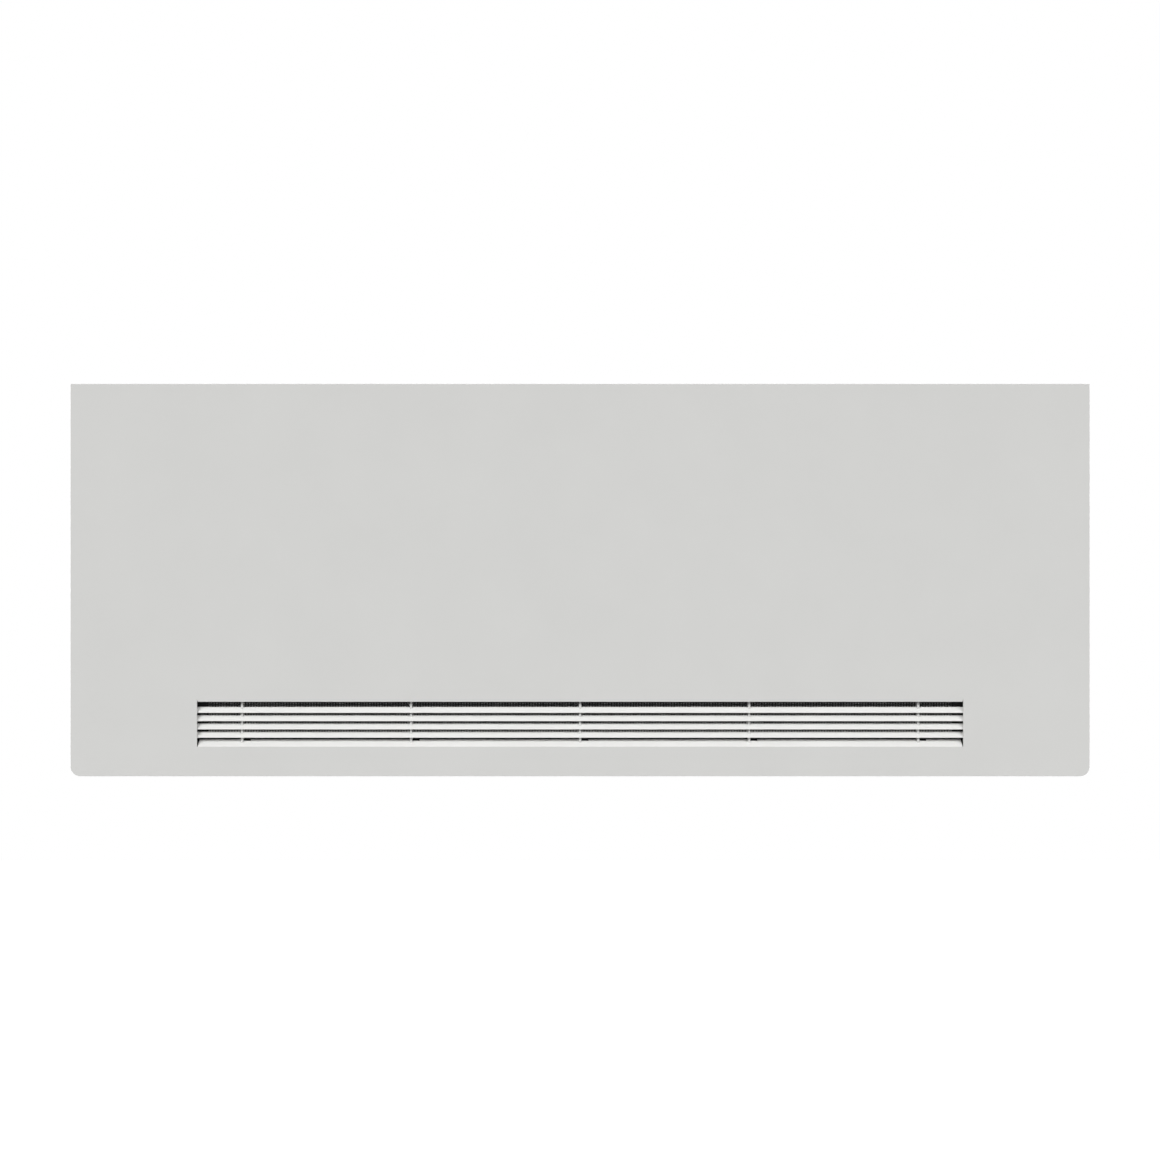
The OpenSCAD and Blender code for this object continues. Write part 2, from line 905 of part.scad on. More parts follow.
// Water panels

function flute_side(x, half_base, half_crest, base_y, crest_y) = [
  [x - half_base, base_y],
  [x - half_crest, crest_y],
  [x + half_crest, crest_y],
  [x + half_base, base_y]
];
function flute_at(k) = (k - (flutes - 1) / 2) * flute_pitch;
function panel_side(y0, y1) = [
  for (k = [0 : flutes - 1])
    each flute_side(flute_at(k), flute_base / 2, flute_crest / 2, y0, y1)
];
function turned(points) = [for (i = [len(points) - 1 : -1 : 0]) [points[i][0], -points[i][1]]];

// Section through a header, from its base on the sheet to its crest and down again
function header_outline(base, crest, out) = [
  [0, -base / 2],
  [out, -crest / 2],
  [out, crest / 2],
  [0, base / 2],
  [-out, crest / 2],
  [-out, -crest / 2]
];

// Drawn round its own middle plane, with its lower edge at z = 0 and its tapping holes facing
module water_panel(facing) {
  half = rad_len / 2;
  front = panel_side(water_t, water_t + flute_d);
  skin = concat([[-half, water_t]], front, [[half, water_t]]);
  difference() {
    union() {
      translate([-half, -water_t, 0])
        cube([rad_len, 2 * water_t, rad_h]);
      translate([0, 0, tap_in])
        linear_extrude(height = rad_h - 2 * tap_in)
          polygon(concat(skin, turned(skin)));
      for (z = [tap_in, rad_h - tap_in])
        translate([0, 0, z])
          along_x(rad_len - 2 * header_in)
            polygon(header_outline(header_base, header_crest, water_t + flute_d));
    }
    for (k = [0 : flutes - 1])
      translate([flute_at(k), 0, tap_in])
        linear_extrude(height = rad_h - 2 * tap_in)
          polygon([
            [flute_edge - flute_base / 2, 0],
            [flute_edge - flute_crest / 2, flute_d],
            [flute_crest / 2 - flute_edge, flute_d],
            [flute_base / 2 - flute_edge, 0],
            [flute_crest / 2 - flute_edge, -flute_d],
            [flute_edge - flute_crest / 2, -flute_d]
          ]);
    for (z = [tap_in, rad_h - tap_in])
      translate([0, 0, z]) {
        along_x(rad_len - 2 * (header_in + water_t))
          polygon(header_outline(header_base - 2 * water_t, header_crest - 2 * flute_edge, flute_d));
        for (side = [-1, 1])
          translate([side * (half - stub_in), facing * panel_th / 2, 0])
            rotate([90, 0, 0])
              cylinder(r = stub_bore_r, h = panel_th, center = true);
      }
  }
}

module water_panel_front() {
  color("white")
    in_casing()
      translate([0, panel_th / 2 - rad_gap - rad_depth, rad_up])
        water_panel(1);
}

module water_panel_rear() {
  color("white")
    in_casing()
      translate([0, -panel_th / 2 - rad_gap, rad_up])
        water_panel(-1);
}

// One folded sheet whose base flats are welded to the flutes of the front water panel
module convector_fins() {
  s = flute_pitch / 2;
  t = fin_t / 2;
  x0 = -rad_len / 2 + s / 2;
  upper = [
    for (k = [0 : flutes - 2]) let (x = x0 + (2 * k + 1) * s)
      each [[x - t, fin_t], [x - t, fin_d], [x + s + t, fin_d], [x + s + t, fin_t]]
  ];
  lower = [
    for (k = [flutes - 2 : -1 : 0]) let (x = x0 + (2 * k + 1) * s)
      each [[x + s - t, 0], [x + s - t, fin_d - fin_t], [x + t, fin_d - fin_t], [x + t, 0]]
  ];
  end = x0 + (2 * flutes - 1) * s;
  color("white")
    in_casing()
      translate([0, panel_th - rad_gap - rad_depth, rad_up + fin_in])
        linear_extrude(height = rad_h - 2 * fin_in)
          polygon(concat([[x0, 0], [x0, fin_t]], upper, [[end, fin_t], [end, 0]], lower));
}

// Each lug is a strap on two feet, which reach the flat sheet on both sides of a flute
module hanging_lugs() {
  foot = lug_t;
  depth = lug_out + flute_d;
  color("white")
    in_casing()
      both_sides()
        for (z = [lug_low, lug_high])
          translate([lug_x - lug_w / 2, -rad_gap - flute_d, rad_up + z])
            difference() {
              cube([lug_w, depth, lug_h]);
              translate([foot, -eps, -eps])
                cube([lug_w - 2 * foot, depth - lug_t + eps, lug_h + 2 * eps]);
            }
}

// Fittings, drawn with x out from the radiator's end and z = 0 on the tapping axis

module at_tapping(side, high) {
  in_casing()
    translate([side * rad_len / 2, -rad_mid, rad_up + (high ? rad_h - tap_in : tap_in)])
      rotate([0, 0, side > 0 ? 0 : 180])
        children();
}

// A tee joins both water panels and takes a valve tail or a plug in its bore
module tee(side, high) {
  tee_floor = 4;
  color("white")
    at_tapping(side, high)
      difference() {
        union() {
          translate([-tee_l / 2, 0, 0])
            bar_x(tee_r, tee_l);
          translate([-stub_in, 0, 0])
            rotate([90, 0, 0])
              cylinder(r = stub_r, h = crest_gap, center = true);
        }
        translate([-tee_l / 2 + tee_floor, 0, 0])
          bar_x(tap_r, tee_l);
        translate([-stub_in, 0, 0])
          rotate([90, 0, 0])
            cylinder(r = stub_bore_r, h = crest_gap + 2 * eps, center = true);
      }
}

module tube_x(x0, x1, r) {
  translate([(x0 + x1) / 2, 0, 0])
    bar_x(r, x1 - x0);
}

module valve_body() {
  difference() {
    union() {
      translate([valve_out, 0, -thread_low])
        cylinder(r = valve_r, h = thread_low + body_high);
      translate([valve_out, 0, -body_low])
        cylinder(r = thread_r, h = body_low);
      tube_x(union_in, valve_out, union_r);
    }
    tube_x(union_in - eps, valve_out, waterway_r);
    translate([valve_out, 0, -body_low - eps])
      cylinder(r = socket_r, h = socket_l + eps);
    translate([valve_out, 0, -body_low])
      cylinder(r = seat_r, h = body_low);
    translate([valve_out, 0, seat_up])
      cylinder(r = chamber_r, h = body_high - seat_up + eps);
  }
}

// The bonnet closes the body's chamber and guides the pin or the spindle
module valve_bonnet(bore_r) {
  translate([valve_out, 0, 0])
    difference() {
      union() {
        translate([0, 0, bonnet_low])
          cylinder(r = chamber_r - run_gap, h = stem_top - bonnet_low);
        translate([0, 0, body_high])
          cylinder(r = collar_r, h = collar_h);
        translate([0, 0, body_high])
          cylinder(r = stem_r, h = stem_top - body_high);
      }
      translate([0, 0, bonnet_low - eps])
        cylinder(r = bore_r, h = stem_top);
    }
}

// A rod with a valve disc that stands clear of the seat by its travel
module valve_rod(rod_r, top) {
  disc_low = seat_up + stop_gap + pin_travel;
  translate([valve_out, 0, disc_low]) {
    cylinder(r = disc_r, h = disc_h);
    cylinder(r = rod_r, h = top - disc_low);
  }
}

module trv_head() {
  cavity_top = pin_top + stop_gap + sensor_l;
  bearing_top = stem_top + stop_gap;
  top = head_foot + head_h;
  rim_r = 17;
  crown_h = 16;
  edge_h = 4;
  grip_r = 1.6;
  grips = 18;
  color("white")
    at_tapping(1, false)
      translate([valve_out, 0, 0])
        difference() {
          rotate_extrude()
            polygon([
              [stem_r + run_gap, head_foot],
              [rim_r, head_foot],
              [head_r, bearing_top],
              [head_r, top - crown_h],
              [head_r - edge_h + 1, top - edge_h],
              [head_r - 2 * edge_h + 1, top],
              [0, top],
              [0, cavity_top],
              [sensor_r + run_gap, cavity_top],
              [sensor_r + run_gap, bearing_top],
              [stem_r + run_gap, bearing_top]
            ]);
          for (k = [0 : grips - 1])
            rotate([0, 0, k * 360 / grips])
              translate([head_r + grip_r / 4, 0, bearing_top + edge_h])
                cylinder(r = grip_r, h = top - crown_h - bearing_top - 2 * edge_h);
        }
}

module trv_sensor() {
  color("brown")
    at_tapping(1, false)
      translate([valve_out, 0, pin_top + stop_gap])
        cylinder(r = sensor_r, h = sensor_l);
}

module lockshield_spindle() {
  flat = 5.5;
  flat_l = 6;
  color("gold")
    at_tapping(-1, false)
      union() {
        valve_rod(spindle_r, stem_top + stop_gap);
        translate([valve_out - flat / 2, -flat / 2, stem_top + stop_gap])
          cube([flat, flat, flat_l]);
      }
}

module lockshield_cap() {
  wall = 2;
  cap_h = 26;
  color("white")
    at_tapping(-1, false)
      translate([valve_out, 0, body_high + stop_gap])
        difference() {
          cylinder(r = collar_r + run_gap + wall, h = cap_h);
          translate([0, 0, -eps])
            cylinder(r = collar_r + run_gap, h = cap_h - wall + eps);
        }
}

// A tail screws into the tee, and its collar is drawn against the valve body by the union nut
module valve_tail() {
  difference() {
    union() {
      tube_x(-spigot_l, 0, spigot_r);
      tube_x(0, tail_flange_l, tail_flange_r);
      tube_x(0, union_in, tail_r);
      tube_x(union_in - tail_collar_l, union_in, tail_collar_r);
    }
    tube_x(-spigot_l - eps, union_in + eps, waterway_r);
  }
}

module union_nut() {
  difference() {
    translate([union_nut_in, 0, 0])
      rotate([0, 90, 0])
        cylinder(r = union_nut_r, h = union_nut_l, $fn = 6);
    tube_x(union_nut_in - eps, union_nut_in + union_nut_l, tail_r + slip_gap);
    tube_x(union_in - tail_collar_l - thread_gap, union_nut_in + union_nut_l + eps, union_r + thread_gap);
  }
}

module pipe_nut() {
  low = -body_low - olive_l - pipe_nut_floor;
  translate([valve_out, 0, low])
    difference() {
      cylinder(r = pipe_nut_r, h = pipe_nut_l, $fn = 6);
      translate([0, 0, -eps])
        cylinder(r = socket_r + slip_gap, h = pipe_nut_l);
      translate([0, 0, pipe_nut_floor])
        cylinder(r = thread_r + thread_gap, h = pipe_nut_l);
    }
}

module pipe_olive() {
  translate([valve_out, 0, -body_low - olive_l])
    difference() {
      cylinder(r = thread_r - 1, h = olive_l);
      translate([0, 0, -eps])
        cylinder(r = socket_r, h = olive_l + 2 * eps);
    }
}

module plug() {
  tube_x(-spigot_l, seal_t, spigot_r);
  translate([seal_t, 0, 0])
    rotate([0, 90, 0])
      cylinder(r = plug_head_r, h = plug_head_l, $fn = 6);
}

// The plug's recess takes the vent screw's square, and a small hole below it lets the air out
module vent_plug() {
  recess_r = 5;
  recess_l = 4;
  spout_r = 0.9;
  color("gold")
    at_tapping(-1, true)
      difference() {
        plug();
        tube_x(-spigot_l - eps, plug_out, vent_r + run_gap);
        tube_x(plug_out - recess_l, plug_out + eps, recess_r);
        translate([plug_out - recess_l / 2, 0, -plug_head_r])
          cylinder(r = spout_r, h = plug_head_r);
      }
}

module vent_screw() {
  flat = 5;
  flat_l = 6;
  flat_in = 4;
  tip_in = 8;
  color("gold")
    at_tapping(-1, true) {
      tube_x(-tip_in, flat_in + eps, vent_r);
      translate([flat_in, -flat / 2, -flat / 2])
        cube([flat_l, flat, flat]);
    }
}

module blank_plug() {
  key_r = 5.8;
  key_l = 5;
  color("gold")
    at_tapping(1, true)
      difference() {
        plug();
        translate([plug_out - key_l, 0, 0])
          rotate([0, 90, 0])
            cylinder(r = key_r, h = key_l + eps, $fn = 6);
      }
}

module plug_seals() {
  seal_in = 0.5;
  color("black")
    for (side = [-1, 1])
      at_tapping(side, true)
        difference() {
          tube_x(0, seal_t, tee_r - seal_in);
          tube_x(-eps, seal_t + eps, tap_r + thread_gap);
        }
}

// Nodes that share a shape

module inlet_frame() {
  color("dimgray")
    at_inlet()
      louvre_frame(blades_in);
}

module inlet_mesh() {
  color("black")
    at_inlet()
      louvre_mesh(blades_in);
}

module inlet_ribs() {
  color("gainsboro")
    at_inlet()
      rib_set(blades_in);
}

// The first four blades are nodes of their own, and further ones go with the fourth
module inlet_blade(i) {
  color("white")
    at_inlet()
      for (k = i < 4 ? [i - 1] : [3 : blades_in - 1])
        if (k < blades_in)
          blade(k);
}

module outlet_frame() {
  color("dimgray")
    at_outlet()
      louvre_frame(blades_out);
}

module outlet_mesh() {
  color("black")
    at_outlet()
      louvre_mesh(blades_out);
}

module outlet_ribs() {
  color("gainsboro")
    at_outlet()
      rib_set(blades_out);
}

module outlet_blades() {
  color("white")
    at_outlet()
      for (k = [0 : blades_out - 1])
        blade(k);
}

module side_panel_right() {
  color("gainsboro")
    side_panel();
}

module side_panel_left() {
  color("gainsboro")
    mirror([1, 0, 0])
      side_panel();
}

module wall_bracket_right() {
  color("lightgray")
    in_casing()
      wall_bracket();
}

module wall_bracket_left() {
  color("lightgray")
    in_casing()
      mirror([1, 0, 0])
        wall_bracket();
}

module trv_body() {
  color("silver")
    at_tapping(1, false)
      valve_body();
}

module trv_bonnet() {
  color("gold")
    at_tapping(1, false)
      valve_bonnet(valve_pin_r + run_gap);
}

module trv_pin() {
  color("silver")
    at_tapping(1, false)
      valve_rod(valve_pin_r, pin_top);
}

module lockshield_body() {
  color("silver")
    at_tapping(-1, false)
      valve_body();
}

module lockshield_bonnet() {
  color("gold")
    at_tapping(-1, false)
      valve_bonnet(spindle_r + run_gap);
}

module at_both_valves() {
  for (side = [-1, 1])
    at_tapping(side, false)
      children();
}

module valve_tails() {
  color("silver")
    at_both_valves()
      valve_tail();
}

module union_nuts() {
  color("silver")
    at_both_valves()
      union_nut();
}

module pipe_nuts() {
  color("silver")
    at_both_valves()
      pipe_nut();
}

module pipe_olives() {
  color("gold")
    at_both_valves()
      pipe_olive();
}

// Nodes

front_panel();
inlet_sill();
inlet_frame();
inlet_mesh();
inlet_ribs();
inlet_blade(1);  // inlet_blade_1
inlet_blade(2);  // inlet_blade_2
inlet_blade(3);  // inlet_blade_3
inlet_blade(4);  // inlet_blade_4
hinge_moving_leaf(-1);  // hinge_moving_leaf_left
hinge_moving_leaf(1);  // hinge_moving_leaf_right
strike_plates();
hinge_fixed_leaf(-1);  // hinge_fixed_leaf_left
hinge_fixed_leaf(1);  // hinge_fixed_leaf_right
hinge_pin(-1);  // hinge_pin_left
hinge_pin(1);  // hinge_pin_right
hinge_screws();
side_panel_left();
side_panel_right();
top_cover();
bottom_plate();
outlet_frame();
outlet_mesh();
outlet_ribs();
outlet_blades();
casing_screws();
catch_holder(-1);  // catch_left
catch_holder(1);  // catch_right
catch_magnets();
panel_buffers();
wall_rail(bolt_up + bolt_v / 2);  // wall_rail_upper
wall_rail(bolt_up - bolt_v / 2);  // wall_rail_lower
wall_bracket_left();
wall_bracket_right();
bracket_saddles();
water_panel_front();
water_panel_rear();
convector_fins();
hanging_lugs();
tee(1, false);  // tee_supply
tee(-1, false);  // tee_return
tee(-1, true);  // tee_vent
tee(1, true);  // tee_blank
trv_body();
trv_bonnet();
trv_pin();
trv_head();
trv_sensor();
lockshield_body();
lockshield_bonnet();
lockshield_spindle();
lockshield_cap();
valve_tails();
union_nuts();
pipe_nuts();
pipe_olives();
vent_plug();
vent_screw();
blank_plug();
plug_seals();
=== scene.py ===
# Looks of the panel radiator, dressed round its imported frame.
# Lengths are metres. X runs along the wall, the front faces -Y and +Z is up.
import json
import math

import bpy
import numpy as np
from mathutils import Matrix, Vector


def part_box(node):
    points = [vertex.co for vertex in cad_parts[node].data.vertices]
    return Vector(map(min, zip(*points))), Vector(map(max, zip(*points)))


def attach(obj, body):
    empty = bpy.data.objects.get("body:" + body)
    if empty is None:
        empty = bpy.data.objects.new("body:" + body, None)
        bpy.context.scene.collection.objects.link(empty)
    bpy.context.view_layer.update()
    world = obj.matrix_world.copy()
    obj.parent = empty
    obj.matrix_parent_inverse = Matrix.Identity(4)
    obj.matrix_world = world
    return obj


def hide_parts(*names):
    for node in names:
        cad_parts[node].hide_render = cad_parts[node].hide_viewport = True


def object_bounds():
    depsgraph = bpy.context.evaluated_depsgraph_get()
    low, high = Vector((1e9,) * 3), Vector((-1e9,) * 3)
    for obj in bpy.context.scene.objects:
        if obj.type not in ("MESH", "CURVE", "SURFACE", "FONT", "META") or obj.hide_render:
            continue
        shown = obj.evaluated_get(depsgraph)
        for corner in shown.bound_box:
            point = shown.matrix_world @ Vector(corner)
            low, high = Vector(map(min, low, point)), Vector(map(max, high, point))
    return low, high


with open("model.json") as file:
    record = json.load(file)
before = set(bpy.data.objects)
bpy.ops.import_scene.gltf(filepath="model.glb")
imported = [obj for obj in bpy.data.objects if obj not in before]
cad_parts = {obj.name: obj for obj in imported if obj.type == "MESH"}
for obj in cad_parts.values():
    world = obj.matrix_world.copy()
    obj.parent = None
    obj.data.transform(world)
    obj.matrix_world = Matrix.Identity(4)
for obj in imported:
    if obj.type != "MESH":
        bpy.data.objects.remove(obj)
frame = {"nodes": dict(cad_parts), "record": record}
cad_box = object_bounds()
nodes = frame["nodes"]
MM = 0.001

# Photo frame, in pixels of the 1160 by 1160 photograph
PHOTO_SIDE = 1160
PANEL_LEFT, PANEL_RIGHT = 70.6, 1089.6
PANEL_TOP, PANEL_BOTTOM = 383.7, 776.4
CAMERA_DISTANCE = 2.45
SENSOR = 36.0

# Light. A lamp's share is the light that it gives a surface square to it, where 1 shows a colour as written
WORLD_LIGHT = 0.1
LAMP_SOFTNESS = 28
# Lamps by azimuth, where 0 shines from the front, elevation and share
LAMPS = {
    "key_left": (-28, 29, 0.645),
    "key_right": (28, 29, 0.44),
    "side_left": (-95, 25, 0.26),
    "side_right": (95, 25, 0.26),
    "rear_left": (150, 25, 0.24),
    "rear_right": (210, 25, 0.2),
}
LAMP_PLACE = 3.0
FLOOR_HALF = 4.0
FLOOR_DROP = 0.55
FLOOR_TONE = 0.3
FLOOR_GLOW = 0.85

# Powder coat: its share of the usual mirror light, and its clouds, orange peel and fine grain.
# Here and below, texture scales are in waves a metre and depths in metres
COAT_GLOSS = 0.2
COAT_CLOUD = 14
COAT_PEEL = 620
COAT_PEEL_DEPTH = 0.05 * MM
COAT_GRAIN = 2400
COAT_GRAIN_DEPTH = 0.01 * MM

# Plated or machined metal
PLATE_CLOUD = 90
PLATE_GRAIN = 1500
PLATE_GRAIN_DEPTH = 0.01 * MM

# Hot dip zinc: its spangles, and the warp of their borders
SPANGLE = 110.0
SPANGLE_WARP = 160
SPANGLE_SHIFT = 0.012
ZINC_GRAIN = 700
ZINC_GRAIN_DEPTH = 0.02 * MM

# Moulded plastic, and rubber
MOULD_CLOUD = 40
MOULD_GRAIN = 1800
MOULD_GRAIN_DEPTH = 0.02 * MM
RUBBER_CLOUD = 120
RUBBER_GRAIN = 900
RUBBER_GRAIN_DEPTH = 0.04 * MM

# Edges: points closer than this are merged, faces flatter than this are joined, and edges sharper
# than this are rounded
MERGE_GAP = 0.005 * MM
FLAT_ANGLE = math.radians(0.5)
SHARP_ANGLE = math.radians(35)

# Rounded edges: their width, segments and nodes. They are the small bends, rolled edges and chamfers
# that the CAD leaves sharp
ROUNDED = [
    (0.6 * MM, 3, ["front_panel"]),
    (0.5 * MM, 2, ["side_panel_left", "side_panel_right", "top_cover", "bottom_plate"]),
    (0.3 * MM, 2, ["inlet_sill", "inlet_ribs", "outlet_ribs"]),
    (0.25 * MM, 2, ["inlet_blade_1", "inlet_blade_2", "inlet_blade_3", "inlet_blade_4", "outlet_blades"]),
    (0.4 * MM, 2, ["wall_rail_upper", "wall_rail_lower", "wall_bracket_left", "wall_bracket_right"]),
    (0.4 * MM, 2, ["hanging_lugs", "tee_supply", "tee_return", "tee_vent", "tee_blank"]),
    (0.8 * MM, 3, ["trv_head", "lockshield_cap"]),
    (0.5 * MM, 2, ["trv_body", "lockshield_body", "union_nuts", "pipe_nuts"]),
    (0.3 * MM, 2, ["vent_plug", "blank_plug", "casing_screws", "hinge_screws"]),
    (0.5 * MM, 2, ["catch_left", "catch_right", "strike_plates", "panel_buffers"]),
]

# Guard meshes
WIRE_PITCH = 2.7 * MM
WIRE_R = 0.48 * MM
WIRE_SIDES = 6

# Water panels: flutes along a panel, their depth, and the spot welds between them
FLUTES = 24
FLUTE_DEPTH = 4.5 * MM
WELD_R = 2.6 * MM
WELD_H = 0.35 * MM
WELD_ROWS = 4
WELD_EDGE = 85 * MM
WELD_SIDES = 14
# Rings of a spot weld: shares of its radius and of its height, the first one sunk in the sheet
WELD_RINGS = [(1.0, -0.3), (0.8, 0.5), (0.45, 0.9)]

# Dial numbers on the crown of the thermostatic head, which narrows from its flank to its rim
DIAL_LAST = 5
DIAL_STEP = 50
DIGIT_H = 7 * MM
DIGIT_T = 0.25 * MM
# Share of the font's size that a digit's height takes, and steps along its curves
DIGIT_SHARE = 0.7
DIGIT_STEPS = 3
CROWN_LOW = 16 * MM
CROWN_HIGH = 4 * MM
CROWN_DRAW = 3 * MM


def add(tree, kind, inputs=None, **settings):
    """Adds a shader node, with its input values by name and its other settings."""
    made = tree.nodes.new(kind)
    for key, value in settings.items():
        setattr(made, key, value)
    for key, value in (inputs or {}).items():
        made.inputs[key].default_value = value
    return made


def new_material(name, colour, roughness, metallic=0.0):
    """A material with a Principled shader and the object's own coordinates."""
    material = bpy.data.materials.new(name)
    material.use_nodes = True
    tree = material.node_tree
    tree.nodes.clear()
    output = add(tree, "ShaderNodeOutputMaterial")
    shader = add(tree, "ShaderNodeBsdfPrincipled")
    shader.inputs["Base Color"].default_value = (*colour, 1)
    shader.inputs["Roughness"].default_value = roughness
    shader.inputs["Metallic"].default_value = metallic
    tree.links.new(shader.outputs["BSDF"], output.inputs["Surface"])
    place = add(tree, "ShaderNodeTexCoord")
    return material, tree, shader, place.outputs["Object"]


def noise(tree, place, scale, detail=2.0, rough=0.5):
    made = add(tree, "ShaderNodeTexNoise", {"Scale": scale, "Detail": detail, "Roughness": rough})
    tree.links.new(place, made.inputs["Vector"])
    return made.outputs["Fac"]


def spread(tree, value, low, high, start=0.3, end=0.7):
    """Maps a texture value from start..end to low..high."""
    made = add(tree, "ShaderNodeMapRange", {
        "From Min": start, "From Max": end, "To Min": low, "To Max": high,
    })
    tree.links.new(value, made.inputs["Value"])
    return made.outputs["Result"]


def tint(tree, shader, colour, value, low, high):
    """Makes the base colour vary between low and high times a colour."""
    mix = add(tree, "ShaderNodeMix", data_type="RGBA")
    mix.inputs["A"].default_value = (*[c * low for c in colour], 1)
    mix.inputs["B"].default_value = (*[min(1.0, c * high) for c in colour], 1)
    tree.links.new(value, mix.inputs["Factor"])
    tree.links.new(mix.outputs["Result"], shader.inputs["Base Color"])


def bump(tree, shader, heights):
    """Chains bumps from (height output, distance in metres, strength)."""
    last = None
    for height, distance, strength in heights:
        made = add(tree, "ShaderNodeBump", {"Distance": distance, "Strength": strength})
        tree.links.new(height, made.inputs["Height"])
        if last:
            tree.links.new(last, made.inputs["Normal"])
        last = made.outputs["Normal"]
    tree.links.new(last, shader.inputs["Normal"])


def powder_coat(name, colour, roughness=0.55, peel=0.35, mottle=0.012):
    """Baked powder coat: faint mottling, and an orange peel of about 1.5 mm."""
    material, tree, shader, place = new_material(name, colour, roughness)
    shader.inputs["Specular IOR Level"].default_value = COAT_GLOSS
    cloud = noise(tree, place, COAT_CLOUD, 3)
    tint(tree, shader, colour, spread(tree, cloud, 0, 1), 1 - mottle, 1 + mottle)
    tree.links.new(spread(tree, cloud, roughness - 0.03, roughness + 0.05), shader.inputs["Roughness"])
    bump(tree, shader, [
        (noise(tree, place, COAT_PEEL, 1.5), COAT_PEEL_DEPTH, peel),
        (noise(tree, place, COAT_GRAIN, 2), COAT_GRAIN_DEPTH, peel),
    ])
    return material


def plated_metal(name, colour, roughness=0.25, grain=0.3):
    """Plated or machined metal, with fine grain and slightly uneven gloss."""
    material, tree, shader, place = new_material(name, colour, roughness, 1.0)
    cloud = noise(tree, place, PLATE_CLOUD, 3)
    tint(tree, shader, colour, spread(tree, cloud, 0, 1), 0.93, 1.04)
    tree.links.new(spread(tree, cloud, roughness - 0.06, roughness + 0.1), shader.inputs["Roughness"])
    bump(tree, shader, [(noise(tree, place, PLATE_GRAIN, 3), PLATE_GRAIN_DEPTH, grain)])
    return material


def galvanised(name, colour=(0.56, 0.57, 0.58)):
    """Hot dip zinc: spangles some 9 mm wide, each with its own brightness and gloss."""
    material, tree, shader, place = new_material(name, colour, 0.42, 0.9)
    cells = add(tree, "ShaderNodeTexVoronoi", {"Scale": SPANGLE, "Randomness": 1.0})
    warp = noise(tree, place, SPANGLE_WARP, 2)
    shift = add(tree, "ShaderNodeVectorMath", operation="MULTIPLY_ADD")
    shift.inputs[1].default_value = (SPANGLE_SHIFT, SPANGLE_SHIFT, SPANGLE_SHIFT)
    tree.links.new(warp, shift.inputs[0])
    tree.links.new(place, shift.inputs[2])
    tree.links.new(shift.outputs[0], cells.inputs["Vector"])
    split = add(tree, "ShaderNodeSeparateColor")
    tree.links.new(cells.outputs["Color"], split.inputs["Color"])
    tint(tree, shader, colour, split.outputs["Red"], 0.88, 1.06)
    tree.links.new(spread(tree, split.outputs["Green"], 0.36, 0.5, 0, 1), shader.inputs["Roughness"])
    bump(tree, shader, [(noise(tree, place, ZINC_GRAIN, 3), ZINC_GRAIN_DEPTH, 0.3)])
    return material


def plastic(name, colour, roughness=0.42, grain=0.4):
    """Moulded plastic with a fine spark-eroded grain."""
    material, tree, shader, place = new_material(name, colour, roughness)
    cloud = noise(tree, place, MOULD_CLOUD, 2)
    tint(tree, shader, colour, spread(tree, cloud, 0, 1), 0.97, 1.02)
    bump(tree, shader, [(noise(tree, place, MOULD_GRAIN, 3), MOULD_GRAIN_DEPTH, grain)])
    return material


def rubber(name):
    """Black rubber, a little chalky."""
    colour = (0.025, 0.025, 0.026)
    material, tree, shader, place = new_material(name, colour, 0.75)
    tint(tree, shader, colour, spread(tree, noise(tree, place, RUBBER_CLOUD, 4), 0, 1), 0.8, 1.6)
    bump(tree, shader, [(noise(tree, place, RUBBER_GRAIN, 4), RUBBER_GRAIN_DEPTH, 0.5)])
    return material


MATERIALS = {
    "casing_paint": powder_coat("casing_paint", (0.615, 0.615, 0.602), 0.72),
    # Louvre coat: whiter than the casing coat. This is partly a white coat of its own and partly painted
    # light, standing in for the extra light that the upward-tilted blades and sill catch from above.
    "louvre_paint": powder_coat("louvre_paint", (0.79, 0.79, 0.775), 0.5, 0.2),
    # Wire coat: a dark grey coat that also carries painted shade, so the louvre gaps behind the blades stay
    # dark.
    "mesh_wire": powder_coat("mesh_wire", (0.085, 0.085, 0.085), 0.5, 0.2, 0.1),
    # Guard frame coat: near black. It is a dark coat made darker still as painted shade, so the lowest
    # louvre gap, where the frame's lip shows, stays dark.
    "guard_frame": powder_coat("guard_frame", (0.025, 0.025, 0.025), 0.6, 0.3, 0.1),
    "galvanised_steel": galvanised("galvanised_steel"),
    "zinc_plate": plated_metal("zinc_plate", (0.68, 0.69, 0.7), 0.3),
    "radiator_enamel": powder_coat("radiator_enamel", (0.76, 0.76, 0.745), 0.32, 0.25),
    "nickel": plated_metal("nickel", (0.66, 0.63, 0.58), 0.2, 0.2),
    "brass": plated_metal("brass", (0.74, 0.54, 0.24), 0.25, 0.3),
    "white_plastic": plastic("white_plastic", (0.82, 0.82, 0.8)),
    "dark_plastic": plastic("dark_plastic", (0.03, 0.03, 0.032)),
    "magnet": plastic("magnet", (0.02, 0.02, 0.02), 0.6, 0.8),
    "rubber": rubber("rubber"),
    "sensor_shell": plated_metal("sensor_shell", (0.7, 0.42, 0.26), 0.3, 0.3),
}


def dress_nodes():
    """Gives each CAD node the material of its slot in the record."""
    for row in frame["record"]["subparts"]:
        piece = nodes[row["node"]]
        piece.data.materials.clear()
        piece.data.materials.append(MATERIALS[row["material_slot"]])


def soften(name, width, segments):
    """Rounds the sharp edges of a CAD node without changing its mesh."""
    piece = nodes[name]
    weld = piece.modifiers.new("weld", "WELD")
    weld.merge_threshold = MERGE_GAP
    flat = piece.modifiers.new("flat", "DECIMATE")
    flat.decimate_type = "DISSOLVE"
    flat.angle_limit = FLAT_ANGLE
    bevel = piece.modifiers.new("bevel", "BEVEL")
    bevel.width = width
    bevel.segments = segments
    bevel.limit_method = "ANGLE"
    bevel.angle_limit = SHARP_ANGLE
    bevel.harden_normals = True


